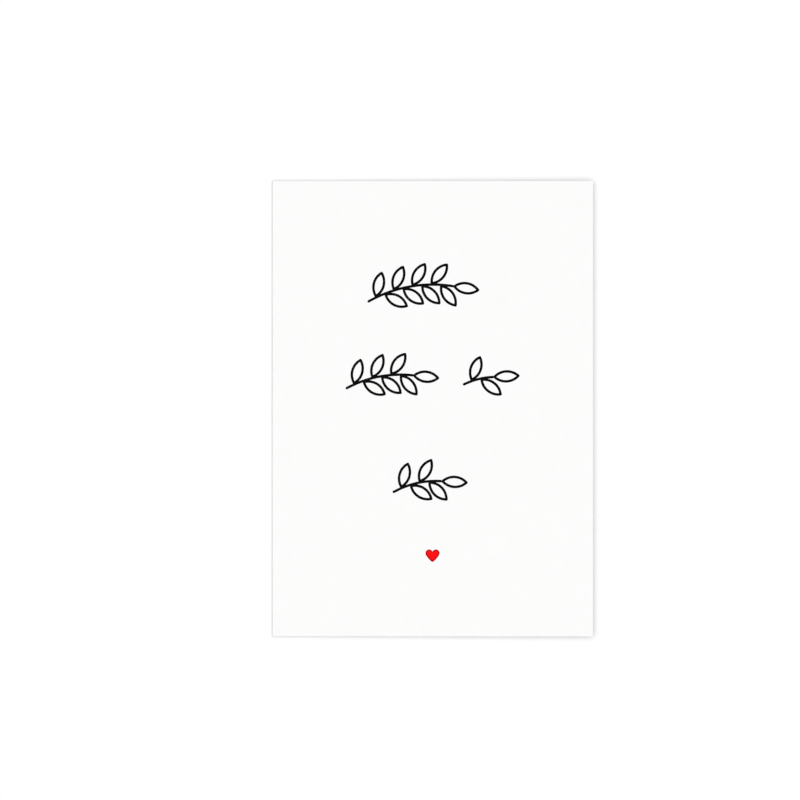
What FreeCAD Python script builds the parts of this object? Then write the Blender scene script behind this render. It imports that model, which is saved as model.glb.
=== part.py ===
import FreeCAD, Part
import math
import os

import Sketcher

# Greeting card: one sheet of card folded once, lying closed on its back panel, with its front print.
# Millimetres and degrees. The fold runs along Y on the -X side, and the card's top edge is towards +Y.
# The origin is under the middle of the card, on the surface that it lies on.

SIZES = [
    # The folded sheet
    ("card_width", 148.0, "folded width, from the fold to the free edges"),
    ("card_height", 210.0, "height, along the fold"),
    ("board_thickness", 0.4, "thickness of the card stock"),
    ("fold_inner_radius", 0.1, "inside radius of the fold"),
    ("opening_angle", 0.4, "angle that the front panel springs open by"),
    # The pen line and the film of ink
    ("film_thickness", 0.03, "thickness of the printed ink film"),
    ("pen_width", 1.2, "width of the black line"),
    # The leafy sprigs
    ("stalk_length", 3.5, "bare stem before a sprig's first leaf"),
    ("tip_length", 5.8, "bare stem between a sprig's last side leaf and the leaf at its tip"),
    ("leaf_pitch", 8.8, "step along the stem from a leaf to the next on its side"),
    ("leaf_length", 11.0, "leaf length, along the middle of the line"),
    ("leaf_width", 4.6, "leaf width, between the middles of the line"),
    ("leaf_splay", 50.0, "angle between a leaf and the stem"),
    ("sprig_lean", 5.0, "turn of a sprig, tip upwards"),
    ("top_stem_radius", 60.0, "curve of the top sprig's stem"),
    ("top_leaf_pairs", 4, "pairs of leaves on the top sprig"),
    ("top_shift", -5.2, "top sprig to the right of the card's middle"),
    ("top_rise", 57.0, "top sprig above the card's middle"),
    ("middle_long_stem_radius", 52.0, "curve of the middle row's long sprig"),
    ("middle_long_leaf_pairs", 3, "pairs of leaves on the middle row's long sprig"),
    ("middle_long_shift", -19.4, "the long sprig to the right of the card's middle"),
    ("middle_long_rise", 15.5, "the long sprig above the card's middle"),
    ("middle_short_stem_radius", 34.0, "curve of the middle row's short sprig"),
    ("middle_short_leaf_pairs", 1, "pairs of leaves on the middle row's short sprig"),
    ("middle_short_shift", 26.4, "the short sprig to the right of the card's middle"),
    ("middle_short_rise", 14.5, "the short sprig above the card's middle"),
    ("bottom_stem_radius", 40.0, "curve of the bottom sprig's stem"),
    ("bottom_leaf_pairs", 2, "pairs of leaves on the bottom sprig"),
    ("bottom_shift", -1.9, "bottom sprig to the right of the card's middle"),
    ("bottom_rise", -33.5, "bottom sprig above the card's middle"),
    # The heart
    ("heart_width", 6.52, "width of the heart"),
    ("heart_height", 5.86, "height of the heart, from its tip to its lobes"),
    ("heart_lobe_radius", 1.7, "radius of the heart's lobes"),
    ("heart_side_radius", 8.8, "radius of the heart's sides"),
    ("heart_rise", -70.76, "the heart's tip above the card's middle"),
]

# Formulas that several sizes share
FOLD_OUTER_RADIUS = "(Sizes.fold_inner_radius + Sizes.board_thickness)"
PANEL_MIDDLE = f"(Sizes.card_width / 2 - {FOLD_OUTER_RADIUS})"
LEAF_ARC_RADIUS = "((Sizes.leaf_length ^ 2 + Sizes.leaf_width ^ 2) / (4 * Sizes.leaf_width))"
LEAF_ARC_OFFSET = f"({LEAF_ARC_RADIUS} - Sizes.leaf_width / 2)"
DEGREES = "180 / pi"

doc = FreeCAD.newDocument("greeting_card")


def make_sheet():
    """The spreadsheet of driving sizes: a name, its number and what it is."""
    sheet = doc.addObject("Spreadsheet::Sheet", "Sizes")
    for row, (alias, value, meaning) in enumerate(SIZES, start=1):
        sheet.set(f"A{row}", alias)
        sheet.set(f"B{row}", str(value))
        sheet.set(f"C{row}", meaning)
        sheet.setAlias(f"B{row}", alias)
    doc.recompute()
    return sheet


sheet = make_sheet()


def number(formula):
    """The present value of a formula on the sheet's names."""
    return float(sheet.evalExpression(formula))


# Sketching

def new_body(label):
    body = doc.addObject("PartDesign::Body", label)
    body.Label = label
    return body


def new_sketch(body, name, plane_role):
    """A sketch on one of its body's own origin planes."""
    plane = next(f for f in body.Origin.OriginFeatures if f.Role == plane_role)
    sketch = body.newObject("Sketcher::SketchObject", name)
    sketch.AttachmentSupport = [(plane, "")]
    sketch.MapMode = "FlatFace"
    return sketch


def add_line(sketch, start, end, construction=False):
    segment = Part.LineSegment(FreeCAD.Vector(*start, 0), FreeCAD.Vector(*end, 0))
    return sketch.addGeometry(segment, construction)


def add_arc(sketch, centre, radius, start_angle, end_angle):
    """An arc that runs counter-clockwise between two angles in degrees."""
    circle = Part.Circle(FreeCAD.Vector(*centre, 0), FreeCAD.Vector(0, 0, 1), radius)
    return sketch.addGeometry(
        Part.ArcOfCircle(circle, math.radians(start_angle), math.radians(end_angle)), False
    )


def constrain(sketch, *rules):
    for rule in rules:
        sketch.addConstraint(Sketcher.Constraint(*rule))


def dimension(sketch, name, kind, places, formula):
    """A dimension that follows a formula on the sheet."""
    value = number(formula)
    if kind == "Angle":
        value = math.radians(value)
    index = sketch.addConstraint(Sketcher.Constraint(kind, *places, value))
    sketch.renameConstraint(index, name)
    sketch.setExpression(f"Constraints.{name}", formula)


def pad(body, sketch, name, length_formula, side_type="One side"):
    feature = body.newObject("PartDesign::Pad", name)
    feature.Profile = sketch
    feature.SideType = side_type
    feature.setExpression("Length", length_formula)
    sketch.Visibility = False
    return feature


def polar(centre, radius, angle):
    """The point at a radius and an angle in degrees about a centre."""
    turn = math.radians(angle)
    return centre[0] + radius * math.cos(turn), centre[1] + radius * math.sin(turn)


def start_of(edge):
    """How a constraint names the start of a line or an arc."""
    return edge, 1


def end_of(edge):
    return edge, 2


def centre_of(arc):
    return arc, 3


def origin():
    """How a constraint names the sketch's own origin."""
    return -1, 1


# The folded sheet: its section is drawn across the fold and runs the card's whole height

def make_folded_card():
    body = new_body("folded_card")
    sketch = new_sketch(body, "card_section", "XZ_Plane")
    edge = number("Sizes.card_width / 2")
    board = number("Sizes.board_thickness")
    inner = number("Sizes.fold_inner_radius")
    outer = number(FOLD_OUTER_RADIUS)
    panel_formula = f"Sizes.card_width - {FOLD_OUTER_RADIUS}"
    panel = number(panel_formula)
    opening = number("Sizes.opening_angle")
    fold = (outer - edge, outer)
    square = opening + 90
    inner_start = polar(fold, inner, square)
    inner_end = polar(inner_start, panel, opening)
    outer_start = polar(fold, outer, square)
    outer_end = polar(outer_start, panel, opening)

    underside = add_line(sketch, (fold[0], 0), (edge, 0))
    back_edge = add_line(sketch, (edge, 0), (edge, board))
    back_inside = add_line(sketch, (edge, board), (fold[0], board))
    fold_inside = add_arc(sketch, fold, inner, square, 270)
    front_inside = add_line(sketch, inner_start, inner_end)
    front_edge = add_line(sketch, inner_end, outer_end)
    front_face = add_line(sketch, outer_end, outer_start)
    fold_outside = add_arc(sketch, fold, outer, square, 270)

    constrain(
        sketch,
        ("Coincident", *end_of(underside), *start_of(back_edge)),
        ("Coincident", *end_of(back_edge), *start_of(back_inside)),
        ("Tangent", *end_of(back_inside), *end_of(fold_inside)),
        ("Tangent", *start_of(fold_inside), *start_of(front_inside)),
        ("Coincident", *end_of(front_inside), *start_of(front_edge)),
        ("Coincident", *end_of(front_edge), *start_of(front_face)),
        ("Tangent", *end_of(front_face), *start_of(fold_outside)),
        ("Tangent", *end_of(fold_outside), *start_of(underside)),
        ("Coincident", *centre_of(fold_inside), *centre_of(fold_outside)),
        ("Horizontal", underside),
        ("Vertical", back_edge),
        ("Horizontal", back_inside),
        ("Parallel", front_inside, front_face),
        ("Perpendicular", front_edge, front_inside),
        ("Horizontal", *origin(), *end_of(underside)),
    )
    dimension(sketch, "inside_radius", "Radius", (fold_inside,), "Sizes.fold_inner_radius")
    dimension(sketch, "outside_radius", "Radius", (fold_outside,), FOLD_OUTER_RADIUS)
    dimension(sketch, "opening", "Angle", (front_inside,), "Sizes.opening_angle")
    dimension(
        sketch, "free_edge", "DistanceX", (*origin(), *end_of(underside)), "Sizes.card_width / 2"
    )
    dimension(sketch, "back_panel", "Distance", (underside,), panel_formula)
    dimension(sketch, "front_panel", "Distance", (front_face,), panel_formula)
    pad(body, sketch, "card_pad", "Sizes.card_height", "Symmetric")
    return body


# Print on the front panel

def seat_on_front(body, along, up):
    """Lays a print's own XY plane on the outside of the front panel.

    along is the distance from the fold's centre, and up is measured from the card's middle.
    """
    opening = "Sizes.opening_angle"
    tilt_axis = FreeCAD.Vector(0, -1, 0)
    body.Placement = FreeCAD.Placement(
        FreeCAD.Vector(0, 0, 0), FreeCAD.Rotation(tilt_axis, number(opening))
    )
    body.setExpression(
        "Placement.Base.x",
        f"-{PANEL_MIDDLE} - {FOLD_OUTER_RADIUS} * sin({opening}) + ({along}) * cos({opening})",
    )
    body.setExpression("Placement.Base.y", up)
    body.setExpression(
        "Placement.Base.z",
        f"{FOLD_OUTER_RADIUS} * (1 + cos({opening})) + ({along}) * sin({opening})",
    )
    body.setExpression("Placement.Rotation.Angle", opening)


# The sprigs: a stem on one arc about the body's origin, and leaves of two arcs each

def stem_profile(body, name, radius, start_angle, end_angle):
    """The pen's line along the stem, round at both ends. The angles are formulas, in degrees."""
    sketch = new_sketch(body, name, "XY_Plane")
    middle = number(radius)
    half = number("Sizes.pen_width / 2")
    first = number(start_angle)
    last = number(end_angle)
    stalk_end = polar((0, 0), middle, first)
    tip_end = polar((0, 0), middle, last)

    outside = add_arc(sketch, (0, 0), middle + half, last, first)
    inside = add_arc(sketch, (0, 0), middle - half, last, first)
    stalk_cap = add_arc(sketch, stalk_end, half, first, first + 180)
    tip_cap = add_arc(sketch, tip_end, half, last + 180, last + 360)
    to_stalk = add_line(sketch, (0, 0), stalk_end, construction=True)
    to_tip = add_line(sketch, (0, 0), tip_end, construction=True)

    constrain(
        sketch,
        ("Coincident", *centre_of(outside), *origin()),
        ("Coincident", *centre_of(inside), *origin()),
        ("Tangent", *end_of(outside), *start_of(stalk_cap)),
        ("Tangent", *end_of(stalk_cap), *end_of(inside)),
        ("Tangent", *start_of(inside), *start_of(tip_cap)),
        ("Tangent", *end_of(tip_cap), *start_of(outside)),
        ("Coincident", *start_of(to_stalk), *origin()),
        ("Coincident", *end_of(to_stalk), *centre_of(stalk_cap)),
        ("Coincident", *start_of(to_tip), *origin()),
        ("Coincident", *end_of(to_tip), *centre_of(tip_cap)),
    )
    dimension(sketch, "outside_radius", "Radius", (outside,), f"{radius} + Sizes.pen_width / 2")
    dimension(sketch, "inside_radius", "Radius", (inside,), f"{radius} - Sizes.pen_width / 2")
    dimension(sketch, "stalk_angle", "Angle", (to_stalk,), start_angle)
    dimension(sketch, "tip_angle", "Angle", (to_tip,), end_angle)
    return sketch


def leaf_profile(body, name, radius, station_angle, splay):
    """A leaf drawn by the pen, from the middle of the stem's line. Its angles are formulas.

    It is pointed where it leaves the stem, and round at its tip like the end of the pen's line.
    """
    sketch = new_sketch(body, name, "XY_Plane")
    outer_radius = f"({LEAF_ARC_RADIUS} + Sizes.pen_width / 2)"
    inner_radius = f"({LEAF_ARC_RADIUS} - Sizes.pen_width / 2)"
    heading_formula = f"{station_angle} - 90 + {splay}"
    heading = number(heading_formula)
    offset = number(LEAF_ARC_OFFSET)
    half_pen = number("Sizes.pen_width / 2")
    half_line = number("Sizes.leaf_length / 2")
    half_outside = number(f"sqrt({outer_radius} ^ 2 - {LEAF_ARC_OFFSET} ^ 2)")
    half_inside = number(f"sqrt({inner_radius} ^ 2 - {LEAF_ARC_OFFSET} ^ 2)")
    base = polar((0, 0), number(radius), number(station_angle))
    middle = polar(base, half_outside, heading)
    tip = polar(middle, half_line, heading)
    left_centre = polar(middle, offset, heading - 90)
    right_centre = polar(middle, offset, heading + 90)

    def seen_at(half_length):
        """The angle at which an arc's centre sees a point on the leaf's axis."""
        return math.degrees(math.atan2(offset, half_length))

    tip_turn = seen_at(half_line)
    corner_turn = seen_at(half_outside)
    inside_turn = seen_at(half_inside)
    outer_left = add_arc(
        sketch, left_centre, number(outer_radius), heading + tip_turn, heading + 180 - corner_turn
    )
    outer_right = add_arc(
        sketch, right_centre, number(outer_radius), heading + 180 + corner_turn, heading - tip_turn
    )
    round_tip = add_arc(sketch, tip, half_pen, heading - tip_turn, heading + tip_turn)
    inner_left = add_arc(
        sketch, left_centre, number(inner_radius), heading + inside_turn, heading + 180 - inside_turn
    )
    inner_right = add_arc(
        sketch, right_centre, number(inner_radius), heading + 180 + inside_turn, heading - inside_turn
    )
    to_base = add_line(sketch, (0, 0), base, construction=True)
    leaf_axis = add_line(sketch, base, tip, construction=True)

    constrain(
        sketch,
        ("Coincident", *end_of(outer_left), *start_of(outer_right)),
        ("Tangent", *end_of(outer_right), *start_of(round_tip)),
        ("Tangent", *end_of(round_tip), *start_of(outer_left)),
        ("Coincident", *end_of(inner_left), *start_of(inner_right)),
        ("Coincident", *start_of(inner_left), *end_of(inner_right)),
        ("Coincident", *centre_of(outer_left), *centre_of(inner_left)),
        ("Coincident", *centre_of(outer_right), *centre_of(inner_right)),
        ("Equal", outer_left, outer_right),
        ("Equal", inner_left, inner_right),
        ("Coincident", *start_of(to_base), *origin()),
        ("Coincident", *end_of(to_base), *end_of(outer_left)),
        ("Coincident", *start_of(leaf_axis), *end_of(outer_left)),
        ("Coincident", *end_of(leaf_axis), *centre_of(round_tip)),
    )
    dimension(sketch, "outer_radius", "Radius", (outer_left,), outer_radius)
    dimension(sketch, "inner_radius", "Radius", (inner_left,), inner_radius)
    dimension(sketch, "tip_radius", "Radius", (round_tip,), "Sizes.pen_width / 2")
    dimension(
        sketch,
        "centre_distance",
        "Distance",
        (*centre_of(outer_left), *centre_of(outer_right)),
        f"2 * {LEAF_ARC_OFFSET}",
    )
    dimension(sketch, "base_distance", "Distance", (to_base,), radius)
    dimension(sketch, "base_angle", "Angle", (to_base,), station_angle)
    dimension(sketch, "heading", "Angle", (leaf_axis,), heading_formula)
    return sketch


def make_sprig(name):
    """One sprig, with its leaves stepped along the stem on both sides and one more at its tip."""
    radius = f"Sizes.{name}_stem_radius"
    pairs = f"Sizes.{name}_leaf_pairs"
    per_length = f"({DEGREES} / {radius})"
    leafy_length = f"Sizes.leaf_pitch * ({pairs} - 1 / 2)"
    stem_length = f"(Sizes.stalk_length + {leafy_length} + Sizes.tip_length)"
    start_angle = (
        f"(90 + Sizes.sprig_lean + ({stem_length} + Sizes.leaf_length) / 2 * {per_length})"
    )
    end_angle = f"({start_angle} - {stem_length} * {per_length})"
    left_angle = f"({start_angle} - Sizes.stalk_length * {per_length})"
    right_angle = f"({left_angle} - Sizes.leaf_pitch / 2 * {per_length})"

    body = new_body(f"{name}_sprig_print")
    stem = stem_profile(body, f"{name}_stem_line", radius, start_angle, end_angle)
    pad(body, stem, f"{name}_stem", "Sizes.film_thickness")
    tip_line = leaf_profile(body, f"{name}_tip_leaf_line", radius, end_angle, "0")
    pad(body, tip_line, f"{name}_tip_leaf", "Sizes.film_thickness")
    for side, station, splay in (
        ("left", left_angle, "Sizes.leaf_splay"),
        ("right", right_angle, "-Sizes.leaf_splay"),
    ):
        line = leaf_profile(body, f"{name}_{side}_leaf_line", radius, station, splay)
        leaf = pad(body, line, f"{name}_{side}_leaf", "Sizes.film_thickness")
        doc.recompute()
        leaves = body.newObject("PartDesign::PolarPattern", f"{name}_{side}_leaves")
        leaves.Originals = [leaf]
        leaves.Axis = (stem, ["N_Axis"])
        leaves.Reversed = True
        leaves.Mode = "Spacing"
        leaves.setExpression("Offset", f"Sizes.leaf_pitch * {per_length}")
        leaves.setExpression("Occurrences", pairs)
        body.Tip = leaves
        doc.recompute()
    seat_on_front(
        body,
        f"{PANEL_MIDDLE} + Sizes.{name}_shift + {radius} * sin(Sizes.sprig_lean)",
        f"Sizes.{name}_rise - {radius} * cos(Sizes.sprig_lean)",
    )
    return body


# The heart: two lobes and two sides, which meet at a tip on the body's origin

def make_heart():
    body = new_body("heart_print")
    sketch = new_sketch(body, "heart_outline", "XY_Plane")
    lobe = number("Sizes.heart_lobe_radius")
    side = number("Sizes.heart_side_radius")
    across = number("Sizes.heart_width / 2 - Sizes.heart_lobe_radius")
    up = number("Sizes.heart_height - Sizes.heart_lobe_radius")
    # The side's centre lies on the far side of the heart, its radius away from the tip and
    # inside the lobe's own centre by the difference of the two radii.
    reach = math.hypot(across, up)
    spread = math.acos((reach ** 2 + side ** 2 - (side - lobe) ** 2) / (2 * reach * side))
    bearing = math.degrees(math.atan2(up, across) + spread)
    side_centre = polar((0, 0), side, bearing)
    meet = math.degrees(math.atan2(up - side_centre[1], across - side_centre[0]))
    notch = math.degrees(math.acos(-across / lobe))

    right_lobe = add_arc(sketch, (across, up), lobe, meet, notch)
    right_side = add_arc(sketch, side_centre, side, bearing - 180, meet)
    left_lobe = add_arc(sketch, (-across, up), lobe, 180 - notch, 180 - meet)
    left_side = add_arc(sketch, (-side_centre[0], side_centre[1]), side, 180 - meet, 360 - bearing)
    middle = add_line(sketch, (0, 0), polar((across, up), lobe, notch), construction=True)

    constrain(
        sketch,
        ("Coincident", *start_of(middle), *origin()),
        ("Coincident", *end_of(middle), *end_of(right_lobe)),
        ("Vertical", middle),
        ("Tangent", *end_of(right_side), *start_of(right_lobe)),
        ("Coincident", *start_of(right_side), *origin()),
        ("Symmetric", *centre_of(left_lobe), *centre_of(right_lobe), middle),
        ("Coincident", *start_of(left_lobe), *end_of(right_lobe)),
        ("Tangent", *start_of(left_side), *end_of(left_lobe)),
        ("Coincident", *end_of(left_side), *origin()),
        ("Equal", left_side, right_side),
    )
    dimension(sketch, "lobe_radius", "Radius", (right_lobe,), "Sizes.heart_lobe_radius")
    dimension(sketch, "side_radius", "Radius", (right_side,), "Sizes.heart_side_radius")
    dimension(
        sketch,
        "lobe_across",
        "DistanceX",
        (*origin(), *centre_of(right_lobe)),
        "Sizes.heart_width / 2 - Sizes.heart_lobe_radius",
    )
    dimension(
        sketch,
        "lobe_up",
        "DistanceY",
        (*origin(), *centre_of(right_lobe)),
        "Sizes.heart_height - Sizes.heart_lobe_radius",
    )
    pad(body, sketch, "heart_pad", "Sizes.film_thickness")
    seat_on_front(body, PANEL_MIDDLE, "Sizes.heart_rise")
    return body


pieces = [make_folded_card()]
for name in ("top", "middle_long", "middle_short", "bottom"):
    pieces.append(make_sprig(name))
pieces.append(make_heart())
doc.recompute()

failed = [obj.Label for obj in doc.Objects if {"Invalid", "Error"} & set(obj.State)]
if failed:
    raise RuntimeError(f"not recomputed: {failed}")
for piece in pieces:
    if piece.Shape.isNull() or not piece.Shape.isValid() or len(piece.Shape.Solids) != 1:
        raise RuntimeError(f"{piece.Label} is not one valid solid")

os.makedirs("parts", exist_ok=True)
for piece in pieces:
    piece.Shape.exportStep(f"parts/{piece.Label}.step")
    box = piece.Shape.BoundBox
    print(
        f"{piece.Label}: {piece.Shape.Volume:.3f} mm3,"
        f" x {box.XMin:.2f} to {box.XMax:.2f},"
        f" y {box.YMin:.2f} to {box.YMax:.2f},"
        f" z {box.ZMin:.3f} to {box.ZMax:.3f}"
    )
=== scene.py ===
import math

import bmesh
import bpy
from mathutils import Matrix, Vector


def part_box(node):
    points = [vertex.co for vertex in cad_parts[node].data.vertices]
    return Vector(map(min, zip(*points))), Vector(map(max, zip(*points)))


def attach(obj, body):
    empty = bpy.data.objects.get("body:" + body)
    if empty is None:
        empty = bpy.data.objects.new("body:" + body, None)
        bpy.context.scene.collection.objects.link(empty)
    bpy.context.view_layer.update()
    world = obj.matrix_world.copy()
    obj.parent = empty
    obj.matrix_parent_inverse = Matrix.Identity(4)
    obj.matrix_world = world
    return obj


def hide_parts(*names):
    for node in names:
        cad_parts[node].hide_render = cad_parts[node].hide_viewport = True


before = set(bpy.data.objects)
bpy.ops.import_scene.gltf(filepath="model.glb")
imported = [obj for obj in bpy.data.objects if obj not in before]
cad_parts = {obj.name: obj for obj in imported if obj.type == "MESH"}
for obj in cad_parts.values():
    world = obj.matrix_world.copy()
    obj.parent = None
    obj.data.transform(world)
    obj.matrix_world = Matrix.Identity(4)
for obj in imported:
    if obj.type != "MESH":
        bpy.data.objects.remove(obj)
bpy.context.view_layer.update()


# The card. One sheet of smooth white card, about 300 g to the square metre, trimmed on a guillotine,
# scored down its middle and folded once. It lies closed on its back panel, and its front panel springs
# open by a hair, so that the free edges stand about a millimetre apart.

card_low, card_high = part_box("folded_card")
card_height = card_high.y - card_low.y
board_thickness = 0.0004
fold_inner_radius = 0.0001
fold_outer_radius = fold_inner_radius + board_thickness
fold_steps = 24
opening = math.radians(0.4)
crease_margin = 0.0006
crease_reach = 0.0014
trimmed_edge = 0.00004
trimmed_steps = 2
sharp_edge = math.radians(60)
smooth_edge = math.radians(20)
merge_distance = 1e-7

fold_centre = Vector((card_low.x + fold_outer_radius, 0, card_low.z + fold_outer_radius))
panel_length = card_high.x - fold_centre.x
along_front = Vector((math.cos(opening), 0, math.sin(opening)))

clear_white = (0.972, 0.972, 0.968, 1)
clouded_white = (0.956, 0.956, 0.950, 1)
# The cut edges' darker colour is partly the cut fibres' own grey and partly painted shade, for the small
# shadows among the opened plies.
cut_grey_and_shade = (0.74, 0.73, 0.705, 1)
cut_light = (0.83, 0.825, 0.81, 1)
noise_low = 0.3
noise_high = 0.7


def clear_selection():
    """The CAD nodes come in selected, and an operator acts on all that is selected."""
    bpy.ops.object.select_all(action="DESELECT")


def start_editing(name):
    """Names the primitive that was just added, and opens it in edit mode."""
    piece = bpy.context.object
    piece.name = name
    piece.data.name = name
    bpy.ops.object.mode_set(mode="EDIT")
    return piece


def pick_edges(piece, wanted):
    """In edit mode, selects the edges whose middle is wanted, and nothing else."""
    bpy.ops.mesh.select_mode(type="EDGE")
    bpy.ops.mesh.select_all(action="DESELECT")
    mesh = bmesh.from_edit_mesh(piece.data)
    for edge in mesh.edges:
        edge.select_set(wanted((edge.verts[0].co + edge.verts[1].co) / 2))
    bmesh.update_edit_mesh(piece.data)


def draw_out(step):
    """In edit mode, extrudes what is selected."""
    bpy.ops.mesh.extrude_region_move(TRANSFORM_OT_translate={"value": step})


def clean_up():
    """In edit mode, merges doubles and turns every face outwards, then leaves edit mode."""
    bpy.ops.mesh.select_all(action="SELECT")
    bpy.ops.mesh.remove_doubles(threshold=merge_distance)
    bpy.ops.mesh.normals_make_consistent(inside=False)
    bpy.ops.object.mode_set(mode="OBJECT")


def work_in(piece, kind, **settings):
    """Gives a piece a modifier and applies it."""
    modifier = piece.modifiers.new(kind.lower(), kind)
    for name, value in settings.items():
        setattr(modifier, name, value)
    bpy.ops.object.modifier_apply(modifier=modifier.name)


def fold_card():
    """The sheet's middle surface: the back panel, spun round the fold, and drawn out to the free edge.

    A narrow strip on each side of the fold keeps the panels flat up to it.
    """
    clear_selection()
    strip_end = fold_centre.x + crease_margin
    panel_middle = (strip_end + card_high.x) / 2
    bpy.ops.mesh.primitive_plane_add(size=1, location=(panel_middle, 0, board_thickness / 2))
    bpy.context.object.scale = (card_high.x - strip_end, card_height, 1)
    bpy.ops.object.transform_apply()
    card = start_editing("folded_sheet")
    pick_edges(card, lambda place: place.x < strip_end + crease_margin)
    draw_out(Vector((-crease_margin, 0, 0)))
    bpy.ops.mesh.spin(
        steps=fold_steps, angle=opening - math.pi, center=fold_centre, axis=(0, 1, 0)
    )
    draw_out(crease_margin * along_front)
    draw_out((panel_length - crease_margin) * along_front)
    clean_up()
    return card


def add_node(tree, kind, inputs=(), **settings):
    """Adds a shader node. Each input is a socket's name and its value, or the output that feeds it."""
    made = tree.nodes.new(kind)
    for name, value in settings.items():
        setattr(made, name, value)
    for socket, source in inputs:
        if isinstance(source, bpy.types.NodeSocket):
            tree.links.new(source, made.inputs[socket])
        else:
            made.inputs[socket].default_value = source
    return made


def new_finish(name, specular):
    """A material, its node tree and its shader."""
    material = bpy.data.materials.new(name)
    material.use_nodes = True
    tree = material.node_tree
    shader = tree.nodes["Principled BSDF"]
    shader.inputs["Specular IOR Level"].default_value = specular
    return material, tree, shader


def grain(tree, across, along=None, turn=0.0, detail=2.0):
    """Noise whose spots are so many metres across, drawn out along the fold, or at a turn to it.

    Most of it lies between noise_low and noise_high.
    """
    along = along or across
    place = add_node(tree, "ShaderNodeTexCoord").outputs["Object"]
    laid = add_node(
        tree,
        "ShaderNodeMapping",
        [("Vector", place), ("Rotation", (0, 0, turn)), ("Scale", (across, along, across))],
        vector_type="TEXTURE",
    )
    noise = add_node(
        tree,
        "ShaderNodeTexNoise",
        [("Vector", laid.outputs["Vector"]), ("Scale", 1.0), ("Detail", detail)],
    )
    return noise.outputs["Fac"]


def between(tree, source, low, high, to_low=0.0, to_high=1.0):
    """Stretches a value so that low and high become the given ends."""
    stretched = add_node(
        tree,
        "ShaderNodeMapRange",
        [
            ("Value", source),
            ("From Min", low),
            ("From Max", high),
            ("To Min", to_low),
            ("To Max", to_high),
        ],
    )
    return stretched.outputs["Result"]


def combine(tree, operation, first, second):
    """The sum, product or other such result of two values."""
    return add_node(tree, "ShaderNodeMath", [(0, first), (1, second)], operation=operation).outputs[0]


def mix_colours(tree, share, first, second):
    """Goes from the first colour to the second as the share goes from nought to one.

    The node has a like-named set of sockets for each kind of value, so these go by their number.
    """
    share_in, first_in, second_in, colour_out = 0, 6, 7, 2
    mixed = add_node(
        tree,
        "ShaderNodeMix",
        [(share_in, share), (first_in, first), (second_in, second)],
        data_type="RGBA",
    )
    return mixed.outputs[colour_out]


def raise_surface(tree, shader, height, depth):
    """Bump of that depth in metres."""
    bump = add_node(tree, "ShaderNodeBump", [("Height", height), ("Distance", depth)])
    tree.links.new(bump.outputs["Normal"], shader.inputs["Normal"])


def fibres(tree):
    """Short wood fibres pressed into the sheet, most of them along the fold.

    Each lay is a turn to the fold, and the strength from which the noise shows there as a fibre.
    """
    lays = ((-0.9, 0.72), (-0.25, 0.69), (0.3, 0.69), (1.0, 0.72))
    fade = 0.05
    laid = None
    for turn, faint in lays:
        noise = grain(tree, across=0.00012, along=0.0018, turn=turn, detail=0.0)
        one_way = between(tree, noise, low=faint, high=faint + fade)
        laid = one_way if laid is None else combine(tree, "MAXIMUM", laid, one_way)
    return laid


def crease(tree):
    """Fine wrinkles along the fold with short cracks across it, fading out on the panels."""
    place = add_node(tree, "ShaderNodeTexCoord").outputs["Object"]
    across = add_node(tree, "ShaderNodeSeparateXYZ", [("Vector", place)]).outputs["X"]
    flat_from = card_low.x + crease_reach
    near_fold = between(tree, across, low=fold_centre.x, high=flat_from, to_low=1.0, to_high=0.0)
    wrinkles = grain(tree, across=0.00007, along=0.0016)
    cracks = between(tree, grain(tree, across=0.0011, along=0.00006, detail=1.0), low=0.6, high=0.75)
    return combine(tree, "MULTIPLY", near_fold, combine(tree, "SUBTRACT", wrinkles, cracks))


def card_finish():
    """The sheet's two faces: white, with a fine tooth, faint clouds in the pulp, and fibres."""
    cloud_share = 0.6
    hair_share = 0.4
    hair_relief = 0.5
    material, tree, shader = new_finish("white_card", specular=0.25)
    clouds = between(tree, grain(tree, across=0.006, along=0.009), noise_low, noise_high)
    tooth = grain(tree, across=0.00035, detail=3.0)
    hairs = fibres(tree)
    cloud_shade = combine(tree, "MULTIPLY", clouds, cloud_share)
    hair_shade = combine(tree, "MULTIPLY", hairs, hair_share)
    shade = combine(tree, "ADD", cloud_shade, hair_shade)
    tree.links.new(mix_colours(tree, shade, clear_white, clouded_white), shader.inputs["Base Color"])
    roughness = between(tree, tooth, noise_low, noise_high, to_low=0.66, to_high=0.8)
    tree.links.new(roughness, shader.inputs["Roughness"])
    relief = combine(tree, "ADD", tooth, combine(tree, "MULTIPLY", hairs, hair_relief))
    relief = combine(tree, "ADD", relief, crease(tree))
    raise_surface(tree, shader, relief, depth=0.000012)
    return material


def cut_edge_finish():
    """The trimmed edges, where the blade has opened the plies: rougher and a little warmer. Their grey is
    partly the fibres' own and partly painted shade.
    """
    material, tree, shader = new_finish("cut_card_edge", specular=0.15)
    plies = grain(tree, across=0.0009)
    chopped = grain(tree, across=0.00015)
    # Patches of darker grey, partly painted shade among the plies, and the paler tone between them.
    shade = between(tree, combine(tree, "MULTIPLY", plies, chopped), low=0.12, high=0.42)
    tree.links.new(mix_colours(tree, shade, cut_grey_and_shade, cut_light), shader.inputs["Base Color"])
    shader.inputs["Roughness"].default_value = 0.9
    raise_surface(tree, shader, chopped, depth=0.00002)
    return material


card = fold_card()
card.data.materials.append(card_finish())
card.data.materials.append(cut_edge_finish())
work_in(
    card,
    "SOLIDIFY",
    thickness=board_thickness,
    offset=0,
    use_even_offset=True,
    use_quality_normals=True,
    material_offset_rim=1,
)
work_in(
    card,
    "BEVEL",
    width=trimmed_edge,
    segments=trimmed_steps,
    limit_method="ANGLE",
    angle_limit=sharp_edge,
)
bpy.ops.object.shade_smooth_by_angle(angle=smooth_edge)
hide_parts("folded_card")
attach(card, "root")


# The black print. Four leafy sprigs in three rows, drawn with one width of line and laid down as a thin
# film of black ink that has dried matt. Their solids stay, and take this finish.

black = (0.001, 0.001, 0.0011, 1)
worn_black = (0.0025, 0.0025, 0.0028, 1)


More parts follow.
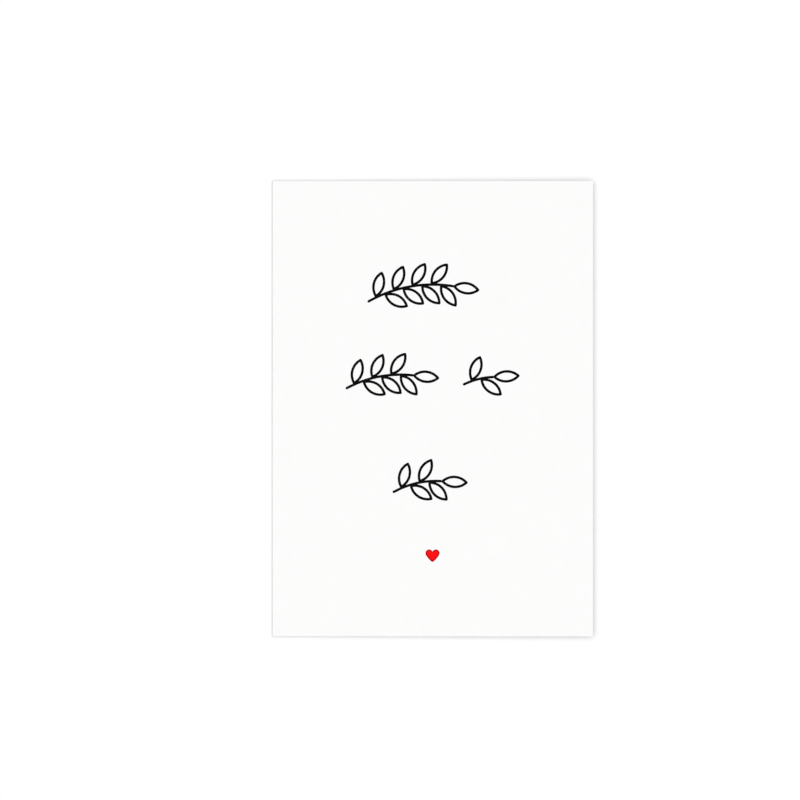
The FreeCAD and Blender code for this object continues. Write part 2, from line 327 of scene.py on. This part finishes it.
def ink_finish(name, ink, worn_ink):
    """Dried ink, a little thinner in places where the card's tooth shows through."""
    material, tree, shader = new_finish(name, specular=0.03)
    thin = between(tree, grain(tree, across=0.0004), low=0.45, high=0.75)
    tree.links.new(mix_colours(tree, thin, ink, worn_ink), shader.inputs["Base Color"])
    dried = grain(tree, across=0.00025, detail=1.0)
    roughness = between(tree, dried, noise_low, noise_high, to_low=0.55, to_high=0.75)
    tree.links.new(roughness, shader.inputs["Roughness"])
    raise_surface(tree, shader, grain(tree, across=0.0003), depth=0.000006)
    return material


black_ink = ink_finish("black_ink", black, worn_black)
for place in ("top", "middle_long", "middle_short", "bottom"):
    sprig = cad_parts[f"{place}_sprig_print"]
    sprig.data.materials.clear()
    sprig.data.materials.append(black_ink)


# The heart. A small plain heart printed in red, with a darker line just inside its edge where the ink has
# gathered, which thins out in the notch. It is a thin film like the black print.

heart_low, heart_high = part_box("heart_print")
heart_width = heart_high.x - heart_low.x
heart_height = heart_high.y - heart_low.y
film_thickness = 0.00003
lobe_radius = 0.0017
side_radius = 0.0088
lobe_steps = 16
side_steps = 8
edge_width = 0.00008
rim_width = 0.0005
notch_lift = 0.00099
join_distance = 1e-6

red = (0.975, 0.005, 0.006, 1)
worn_red = (0.985, 0.008, 0.009, 1)
dark_red = (0.38, 0.003, 0.004, 1)
worn_dark_red = (0.43, 0.005, 0.006, 1)


def heart_arcs():
    """The right half of the outline, from the tip: each arc's centre, its turn and its steps.

    The side's circle passes through the tip and holds the lobe's, which it touches where they meet.
    """
    lobe = Vector((heart_width / 2 - lobe_radius, heart_height - lobe_radius))
    reach = lobe.length
    spread = math.acos(
        (reach ** 2 + side_radius ** 2 - (side_radius - lobe_radius) ** 2) / (2 * reach * side_radius)
    )
    bearing = math.atan2(lobe.y, lobe.x) + spread
    side = side_radius * Vector((math.cos(bearing), math.sin(bearing)))
    meet = math.atan2(lobe.y - side.y, lobe.x - side.x)
    notch = math.acos(-lobe.x / lobe_radius)
    return (side, meet - (bearing - math.pi), side_steps), (lobe, notch - meet, lobe_steps)


def pick_point(piece, target):
    """In edit mode, selects the point nearest to the target, and nothing else."""
    bpy.ops.mesh.select_mode(type="VERT")
    bpy.ops.mesh.select_all(action="DESELECT")
    mesh = bmesh.from_edit_mesh(piece.data)
    min(mesh.verts, key=lambda point: (point.co - target).length).select_set(True)
    bmesh.update_edit_mesh(piece.data)


def sort_parts(place):
    """In edit mode, lists the points, edges and faces by how far they are from a place.

    Extruding leaves the new faces in no fixed order, and this makes the mesh the same on each run.
    """
    bpy.context.scene.cursor.location = place
    bpy.ops.mesh.select_all(action="SELECT")
    bpy.ops.mesh.sort_elements(type="CURSOR_DISTANCE", elements={"VERT", "EDGE", "FACE"})


def draw_heart():
    """Spins the tip round each half's two arcs, fills the outline, raises it and draws its rim.

    The sides have few steps, because short edges would cross at the tip as the rim is drawn in. The rim's
    inner line is then drawn up in the notch, where an even rim would reach too far down.
    """
    red_slot, rim_slot = 0, 1
    left_of_heart = (-heart_width, 0, 0)
    clear_selection()
    bpy.ops.mesh.primitive_plane_add(size=lobe_radius)
    heart = start_editing("red_heart")
    bpy.ops.mesh.merge(type="CENTER")
    for side in (1, -1):
        pick_point(heart, Vector((0, 0, 0)))
        for centre, turn, steps in heart_arcs():
            bpy.ops.mesh.spin(
                steps=steps,
                angle=-side * turn,
                center=(side * centre.x, centre.y, 0),
                axis=(0, 0, 1),
            )
    bpy.ops.mesh.select_all(action="SELECT")
    bpy.ops.mesh.remove_doubles(threshold=join_distance)
    bpy.ops.mesh.edge_face_add()
    draw_out((0, 0, film_thickness))
    heart.data.materials.append(ink_finish("heart_red", red, worn_red))
    heart.data.materials.append(ink_finish("heart_rim", dark_red, worn_dark_red))
    for width, slot_inside in ((edge_width, rim_slot), (rim_width, red_slot)):
        bpy.ops.mesh.inset(thickness=width, use_even_offset=True)
        heart.active_material_index = slot_inside
        bpy.ops.object.material_slot_assign()
    pick_point(heart, Vector((0, heart_height / 2, film_thickness)))
    bpy.ops.transform.translate(value=(0, notch_lift, 0))
    sort_parts(left_of_heart)
    clean_up()
    return heart


heart = draw_heart()
heart.rotation_euler = (0, -opening, 0)
heart.location = (
    (heart_low.x + heart_high.x) / 2,
    heart_low.y,
    fold_centre.z + fold_outer_radius - fold_centre.x * math.tan(opening),
)
bpy.ops.object.transform_apply()
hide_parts("heart_print")
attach(heart, "root")


# The floor, the light and the camera. The card lies on a wide sheet of white paper, under one broad soft
# lamp that is almost straight above it, in a white room that adds a little light from all sides. The
# camera looks straight down from about a metre.

floor_size = 8.0
floor_gap = 0.00002
floor_bounce = (0.3, 0.3, 0.3, 1)
floor_glow = 0.01
white = (1.0, 1.0, 1.0, 1)
room_light = 0.1
lamp_light = 0.9
lamp_spread = math.radians(125)
lamp_place = (-0.03, 0, 1.2)
photo_width = 0.3689
photo_centre = Vector((-0.0150, 0.0040))
front_height = 0.0015


def seen_straight(tree):
    """One where the eye meets a surface, in gloss and through glass too, and nought for bounced light."""
    rays = add_node(tree, "ShaderNodeLightPath")
    seen = combine(tree, "MAXIMUM", rays.outputs["Is Camera Ray"], rays.outputs["Is Glossy Ray"])
    return combine(tree, "MAXIMUM", seen, rays.outputs["Is Transmission Ray"])


def floor_finish():
    """White paper to the eye, which throws only a part of its light back on the card."""
    material, tree, shader = new_finish("floor_paper", specular=0.0)
    seen = seen_straight(tree)
    tree.links.new(mix_colours(tree, seen, floor_bounce, white), shader.inputs["Base Color"])
    shader.inputs["Roughness"].default_value = 1.0
    tree.links.new(combine(tree, "MULTIPLY", seen, floor_glow), shader.inputs["Emission Strength"])
    shader.inputs["Emission Color"].default_value = white
    return material


def light_room():
    """A world that is white to the eye and gives only the room's light."""
    world = bpy.data.worlds.new("white_room")
    bpy.context.scene.world = world
    world.use_nodes = True
    tree = world.node_tree
    background = tree.nodes["Background"]
    background.inputs["Color"].default_value = white
    strength = between(tree, seen_straight(tree), low=0.0, high=1.0, to_low=room_light, to_high=1.0)
    tree.links.new(strength, background.inputs["Strength"])


def hang_lamp():
    """A lamp that is aimed at the card's middle."""
    lamp_data = bpy.data.lights.new("ceiling", "SUN")
    lamp_data.energy = lamp_light * math.pi
    lamp_data.angle = lamp_spread
    lamp = bpy.data.objects.new("ceiling", lamp_data)
    bpy.context.collection.objects.link(lamp)
    lamp.location = lamp_place
    lamp.rotation_euler = (Vector((0, 0, 0)) - lamp.location).to_track_quat("-Z", "Y").to_euler()


def set_camera():
    """Looks straight down, and takes in the photo's width at the height of the card's front."""
    camera_data = bpy.data.cameras.new("camera")
    camera_data.lens = 100
    camera_data.sensor_width = 36
    camera_data.clip_end = 20
    camera = bpy.data.objects.new("camera", camera_data)
    bpy.context.collection.objects.link(camera)
    distance = photo_width * camera_data.lens / camera_data.sensor_width
    camera.location = (photo_centre.x, photo_centre.y, front_height + distance)
    bpy.context.scene.camera = camera


clear_selection()
bpy.ops.mesh.primitive_plane_add(size=floor_size, location=(0, 0, card_low.z - floor_gap))
floor = bpy.context.object
floor.name = "floor"
floor.data.materials.append(floor_finish())
light_room()
hang_lamp()
set_camera()
bpy.context.scene.view_settings.view_transform = "Standard"
